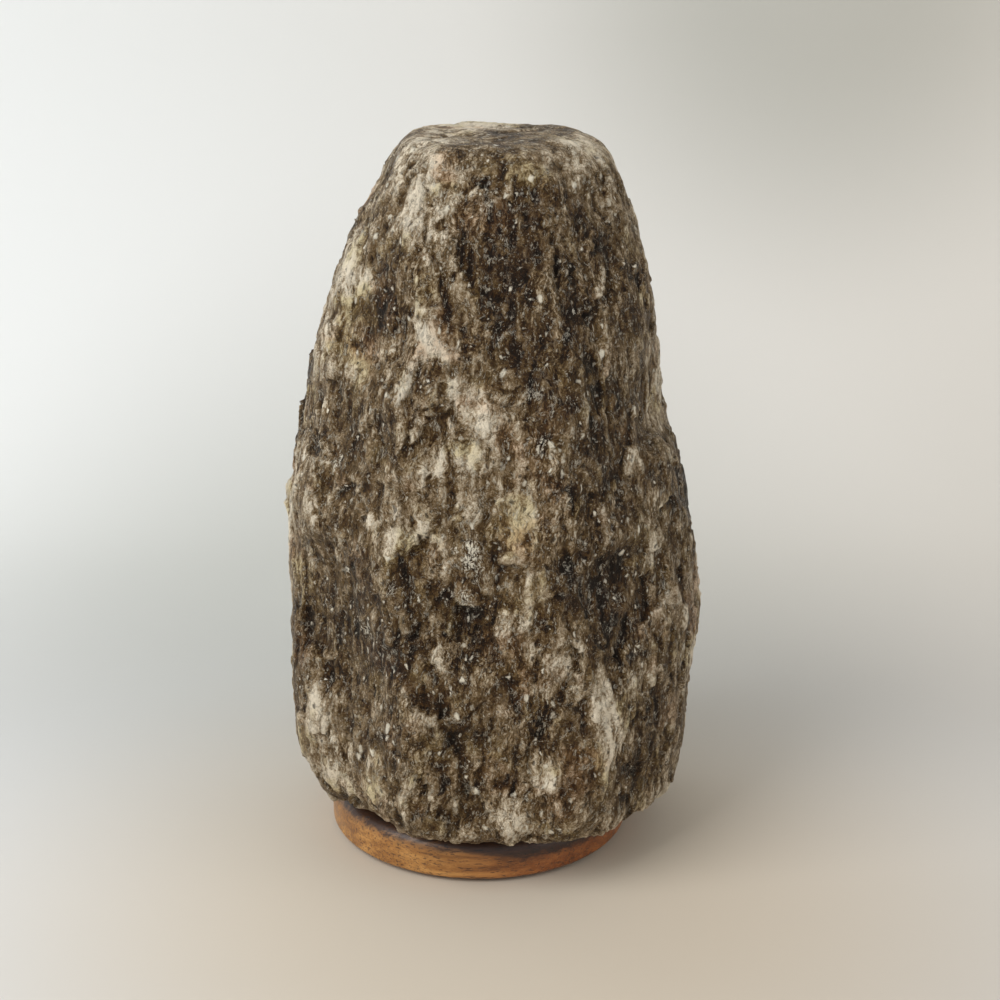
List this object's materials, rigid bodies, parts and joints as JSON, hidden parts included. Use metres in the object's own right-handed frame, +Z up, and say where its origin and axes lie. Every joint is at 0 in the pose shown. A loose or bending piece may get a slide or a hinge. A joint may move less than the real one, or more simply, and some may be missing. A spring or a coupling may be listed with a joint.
{
  "type": "salt crystal lamp",
  "caption": "Natural grey rock-salt crystal, drilled from below and screwed to a turned wooden base, with a bulb holder held up inside by spring arms.",
  "frame": {"origin": "on the axis of the turned base, on the surface that the four feet stand on", "axes": "+Z up along the base's axis, +X to the lamp's right, -Y to its front; the cord groove opens towards +Y"},
  "size_m": [0.1473, 0.1343, 0.2555],
  "materials": {
    "grey_salt": "rough broken rock salt, slightly translucent",
    "stained_wood": "turned and stained, satin",
    "zinc_steel": "zinc plated",
    "spring_steel": "stamped and nickel plated",
    "nylon": "moulded",
    "foot_rubber": "matt black",
    "holder_plastic": "moulded black",
    "white_ceramic": "white, half matt",
    "brass": "stamped and rolled",
    "solder": "dull tin",
    "black_glass": "opaque black",
    "bulb_aluminium": "rolled",
    "clear_glass": "clear, blown",
    "stem_glass": "clear, pressed",
    "lead_wire": "drawn",
    "tungsten": "drawn, dark"
  },
  "bodies": {
    "lamp": {"salt_crystal": "grey_salt", "wooden_base": "stained_wood", "base_screws": "zinc_steel", "screw_plugs": "nylon", "foot_1": "foot_rubber", "foot_2": "foot_rubber", "foot_3": "foot_rubber", "foot_4": "foot_rubber"},
    "light_unit": {"retaining_plate": "zinc_steel", "spring_collar": "spring_steel", "lock_washer": "zinc_steel", "nipple_nut": "zinc_steel", "threaded_nipple": "zinc_steel", "holder_cap": "holder_plastic", "holder_skirt": "holder_plastic", "cap_lock_screw": "zinc_steel", "contact_block": "white_ceramic", "screw_shell": "brass", "centre_contact": "brass", "side_contact": "brass", "contact_rivets": "brass", "terminal_right": "brass", "terminal_left": "brass", "terminal_screws": "zinc_steel"},
    "bulb_tip": {"bulb_contact": "solder"},
    "bulb": {"bulb_insulator": "black_glass", "bulb_cap": "bulb_aluminium", "bulb_glass": "clear_glass", "bulb_stem": "stem_glass", "bulb_lead_wires": "lead_wire", "bulb_filament": "tungsten", "filament_support": "lead_wire"}
  },
  "joints": [
    {"name": "light_unit_slide", "type": "slide", "parent": "lamp", "child": "light_unit", "axis": [0, 0, -1], "range_m": [0, 0.09]},
    {"name": "bulb_lift", "type": "slide", "parent": "light_unit", "child": "bulb_tip", "axis": [0, 0, 1], "range_m": [0, 0.00987]},
    {"name": "bulb_turn", "type": "hinge", "parent": "bulb_tip", "child": "bulb", "pos_m": [0, 0, 0.04], "axis": [0, 0, 1], "range_deg": [0, 1260]}
  ],
  "couplings": [
    {"joint": "bulb_lift", "follows": "bulb_turn", "m_per_rad": 0.00044882}
  ]
}
